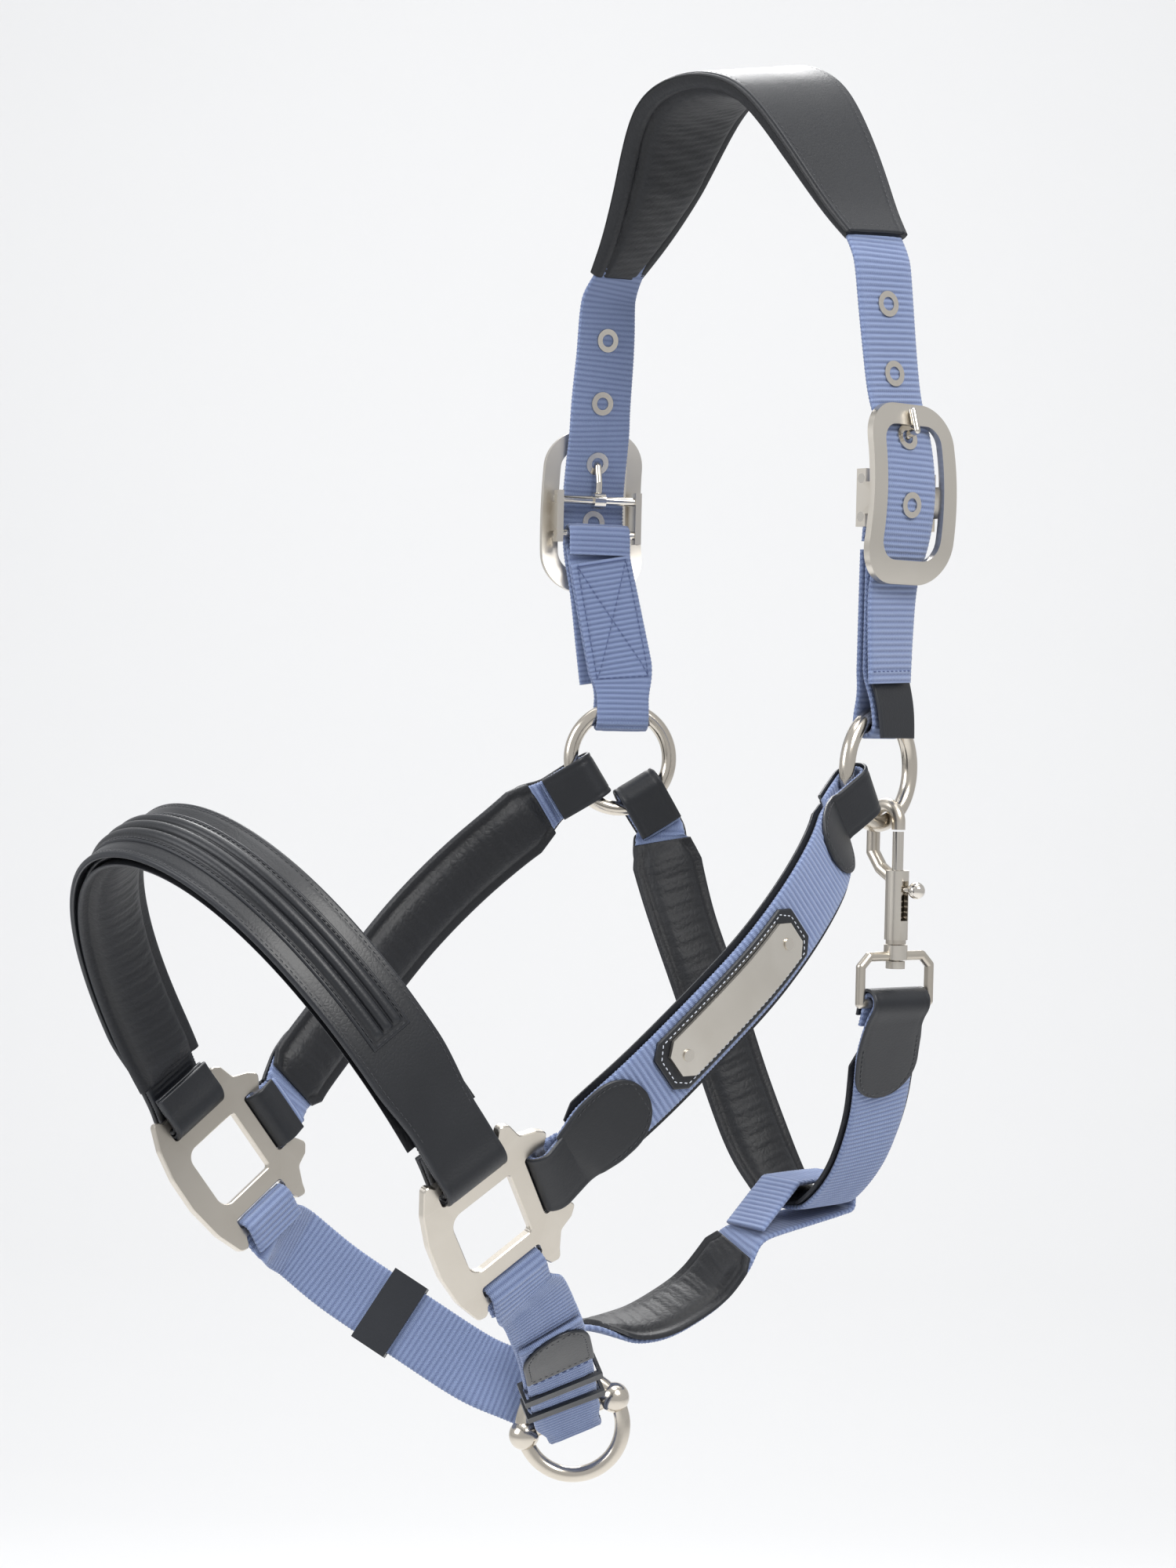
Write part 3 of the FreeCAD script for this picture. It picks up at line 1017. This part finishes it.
export("right_chin_strap", sew(FC, ff, 0, FC.L, -H, H,
       lambda x: ramp(x, FC.a-2, FC.a+12, 11.3, WEB_W/2) if x < FC.w0-30 else
       (ramp(x, FC.w0-18, FC.w0-3, WEB_W/2, 9.8) if x < FC.w1 else ramp(x, FC.w1+4, FC.w1+16, 9.8, 11.9))))
# leather tip on the strap's free end
t0 = FC.L-27.0


def tipE(x):
    e = FC.L
    if x < e-12: return 12.2
    t = (x-(e-12))/12.0
    return max(3.5, 12.2*math.sqrt(max(0.0, 1-t*t*0.92)))

export("chin_strap_tip", sew(FC, ff, t0, FC.L, H+0.25, H+0.25+LEA_T, tipE, extra=(FC.L-12, FC.L-8, FC.L-4, FC.L-1.5)))


def sleeve(p, T, W, N, w_in, n_lo, n_hi, half_l, t):
    """Rectangular keeper round a strap: inside from n_lo to n_hi along N."""
    def box(wh, a, b, l):
        secs = []
        for k_ in (-l, l):
            secs.append([comb((1, p), (k_, T), (-wh, W), (a, N)), comb((1, p), (k_, T), (wh, W), (a, N)),
                         comb((1, p), (k_, T), (wh, W), (b, N)), comb((1, p), (k_, T), (-wh, W), (b, N))])
        return skin(secs)
    return box(w_in+t, n_lo-t, n_hi+t, half_l).cut(box(w_in, n_lo, n_hi, half_l+1))


def keeper(S, f, x, w_in, n_lo, n_hi, half_l, t):
    q, w_, n_ = S.at(x); T_ = unit(cross(w_, n_))
    return sleeve(q, T_, w_, mul(n_, f), w_in, n_lo, n_hi, half_l, t)

# two keepers hold the free end against the near strap
top_ = off2+H
for nm, x, hi in (("chin_keeper_lower", b1-17.5, top_+0.4), ("chin_keeper_upper", b1-32.5, top_+0.4)):
    lo = -H-0.4
    export(nm, keeper(NC, fn, x, WEB_W/2+0.6, lo, hi, 2.3, 1.1))
KS = FC.nearest((-55.0, -104.0, -447.5))
export("chin_keeper_sliding", keeper(FC, ff, KS, WEB_W/2+0.5, -H-0.35, H+0.35, 7.0, 1.5))

# ---------------------------------------------------------------- jaw strap
aj = math.radians(88.0)
jr = comb((math.cos(aj), cB), (math.sin(aj), cU)); jt = comb((math.sin(aj), cB), (-math.cos(aj), cU))
jp = comb((1, cC), (CHIN_R, jr))
TUJ = CHIN_WIRE+1.05+H
bk = mul(cN, -1)
WJ = (0.985, 0.087, -0.151)
jt = jt if dot(jt, WJ) > 0 else mul(jt, -1)
JL = hull_loop(jp, jr, bk, jt, [(-3.1, 0, TUJ), (0, 0, TUJ)], (1.0, 0.2), 12.5, H+0.15, 21.0)
outd = (0, 0.497, -0.868)
if dot(sub(JL[-1][0], JL[0][0]), outd) < 0:
    JL = hull_loop(jp, jr, mul(bk, -1), jt, [(-3.1, 0, TUJ), (0, 0, TUJ)], (1.0, -0.2), 12.5, H+0.15, 21.0)
print("jaw loop tail", [round(v, 1) for v in JL[-1][0]], "first", [round(v, 1) for v in JL[0][0]])
# rear loop round the throat strap
tq = (10.5, 36.6, -409.2)
jd = (0.0, -1.0, 0.0)
jo = (0.0, 0.0, -1.0)
t_lo = H+0.9+H           # below the throat webbing
t_hi = H+4.6+3.6+H       # above the throat lining
JB = hull_loop(tq, jd, jo, (1.0, 0, 0), [(12.6, t_lo-2.2, 2.2), (12.6, -t_hi+2.2, 2.2), (-13.8, t_lo-2.2, 2.2), (-13.8, -t_hi+2.2, 2.2)],
               (1.0, 0.22), 32.0, H+0.05, 32.5)
JMID = [((-6.5, -71.0, -446.5), (0.75, 0.35, 0.40)), ((-3.0, -60.0, -446.5), (0.93, 0.25, 0.1)), ((-0.5, -47.0, -450.0), WJ), ((0.5, -33.8, -449.0), WJ), ((1.5, -18.1, -443.5), WJ), ((3.0, -5.0, -436.0), (0.99, 0.05, -0.1)), ]
print("jaw rear tail", [round(v, 1) for v in JB[-1][0]], [round(v, 1) for v in JB[0][0]])
JW = build(JL, JMID, JB, 9.0)
fj = outer_sign(JW, outd)
a2, b2 = JW.a, JW.b
export("jaw_strap_webbing", sew(JW, fj, 0, JW.L, -H, H,
       lambda x: min(ramp(x, a2-4, a2+12, 8.8, WEB_W/2), ramp(x, b2-10, b2+4, WEB_W/2, 10.0))))
l0j, l1j = a2+22.0, b2-6.0


def linJ(x):
    k = max(0.3, min(1.0, (x-l0j)/10.0, (l1j-x)/10.0)); h = 14.0
    return [(w_, fj*n_) for w_, n_ in ((-h, n_i), (-h, n_i-1.3), (-h+4.0, n_i-1.6), (-h+6.0, n_i-1.6-2.6*k),
                                      (h-6.0, n_i-1.6-2.6*k), (h-4.0, n_i-1.6), (h, n_i-1.3), (h, n_i), (0, n_i))]
export("jaw_strap_lining", JW.prof(l0j, l1j, linJ))
print("chin ring centre", cC, "bar ends", ends_)
print(len(PARTS), "parts")
